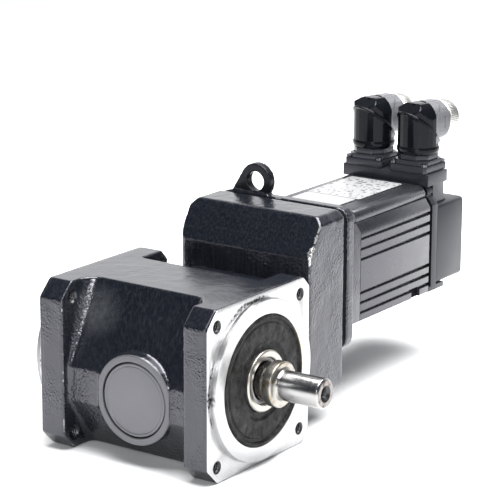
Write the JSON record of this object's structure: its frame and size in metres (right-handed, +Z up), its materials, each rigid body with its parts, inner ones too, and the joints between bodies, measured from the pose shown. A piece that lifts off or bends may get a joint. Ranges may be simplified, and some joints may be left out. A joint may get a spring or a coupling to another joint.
{
  "type": "right-angle servo gear reducer",
  "caption": "Right-angle gear reducer with square output flanges, a smooth output shaft, an offset spur stage and a square servo motor with two swivelling angled connectors.",
  "frame": {"origin": "on the underside of the gear case, midway between its two flange faces and straight below the output axis", "axes": "+X along the output shaft, towards its free end; +Y from the gear case to the motor; +Z up, from the underside to the top of the flanges"},
  "size_m": [0.2074, 0.3555, 0.1932],
  "materials": {
    "black_paint": "glossy black enamel over cast metal",
    "motor_paint": "satin black paint",
    "bare_aluminium": "turned, bare",
    "ground_steel": "ground",
    "gear_steel": "case-hardened, oiled",
    "bearing_steel": "ground and polished",
    "dark_rubber": "matt black rubber",
    "label_film": null,
    "copper_wire": "enamelled copper winding",
    "core_steel": "stacked laminations",
    "screw_steel": "black oxide",
    "nickel_plate": "nickel-plated",
    "black_plastic": "moulded black plastic"
  },
  "bodies": {
    "housing": {"gear_case": "black_paint", "access_cap": "black_paint", "stage_housing": "black_paint", "motor_adapter_plate": "black_paint", "motor_front_bell": "motor_paint", "motor_stator_housing": "motor_paint", "motor_rear_bell": "motor_paint", "motor_rear_cover": "motor_paint", "connector_base": "motor_paint", "power_connector_flange": "motor_paint", "signal_connector_flange": "motor_paint", "end_cover": "bare_aluminium", "output_left_bearing_outer_ring": "bearing_steel", "output_right_bearing_outer_ring": "bearing_steel", "pinion_front_bearing_outer_ring": "bearing_steel", "pinion_rear_bearing_outer_ring": "bearing_steel", "motor_front_bearing_outer_ring": "bearing_steel", "motor_rear_bearing_outer_ring": "bearing_steel", "access_cap_ring": "dark_rubber", "output_oil_seal": "dark_rubber", "stage_gasket": "dark_rubber", "rating_label_rear": "label_film", "rating_label_front": "label_film", "stator_winding": "copper_wire", "resolver_stator": "copper_wire", "stator_core": "core_steel", "adapter_screw_1": "screw_steel", "adapter_screw_2": "screw_steel", "adapter_screw_3": "screw_steel", "adapter_screw_4": "screw_steel", "power_connector_screw_1": "screw_steel", "power_connector_screw_2": "screw_steel", "power_connector_screw_3": "screw_steel", "power_connector_screw_4": "screw_steel", "signal_connector_screw_1": "screw_steel", "signal_connector_screw_2": "screw_steel", "signal_connector_screw_3": "screw_steel", "signal_connector_screw_4": "screw_steel"},
    "output": {"output_shaft": "ground_steel", "output_sleeve": "ground_steel", "output_sleeve_seal_ring": "dark_rubber", "crown_gear": "gear_steel", "output_left_bearing_inner_ring": "bearing_steel", "output_right_bearing_inner_ring": "bearing_steel"},
    "pinion": {"bevel_pinion_shaft": "gear_steel", "stage_wheel": "gear_steel", "pinion_front_bearing_inner_ring": "bearing_steel", "pinion_rear_bearing_inner_ring": "bearing_steel"},
    "rotor": {"motor_shaft": "ground_steel", "motor_pinion": "gear_steel", "rotor_core": "core_steel", "resolver_rotor": "core_steel", "motor_front_bearing_inner_ring": "bearing_steel", "motor_rear_bearing_inner_ring": "bearing_steel"},
    "power_head": {"power_connector_body": "black_paint", "power_connector_insert": "black_plastic"},
    "power_ring": {"power_coupling_ring": "nickel_plate"},
    "signal_head": {"signal_connector_body": "black_paint", "signal_connector_insert": "black_plastic"},
    "signal_ring": {"signal_coupling_ring": "nickel_plate"}
  },
  "joints": [
    {"name": "output_spin", "type": "hinge", "parent": "housing", "child": "output", "pos_m": [0, 0, 0.0575], "axis": [1, 0, 0], "continuous": true},
    {"name": "pinion_spin", "type": "hinge", "parent": "housing", "child": "pinion", "pos_m": [0.006, 0, 0.0575], "axis": [0, 1, 0], "continuous": true},
    {"name": "rotor_spin", "type": "hinge", "parent": "housing", "child": "rotor", "pos_m": [0.006, 0, 0.095], "axis": [0, 1, 0], "continuous": true},
    {"name": "power_swivel", "type": "hinge", "parent": "housing", "child": "power_head", "pos_m": [0.0255, 0.2653, 0.1563], "axis": [0, 0, 1], "range_deg": [-105, 0]},
    {"name": "signal_swivel", "type": "hinge", "parent": "housing", "child": "signal_head", "pos_m": [-0.013, 0.2653, 0.1563], "axis": [0, 0, 1], "range_deg": [0, 105]},
    {"name": "power_ring_spin", "type": "hinge", "parent": "power_head", "child": "power_ring", "pos_m": [0.0255, 0.2653, 0.1787], "axis": [0.2588, 0.9659, 0], "continuous": true},
    {"name": "signal_ring_spin", "type": "hinge", "parent": "signal_head", "child": "signal_ring", "pos_m": [-0.013, 0.2653, 0.1787], "axis": [0.2588, 0.9659, 0], "continuous": true}
  ],
  "couplings": [
    {"joint": "pinion_spin", "follows": "output_spin", "ratio": 3},
    {"joint": "rotor_spin", "follows": "output_spin", "ratio": -9}
  ]
}
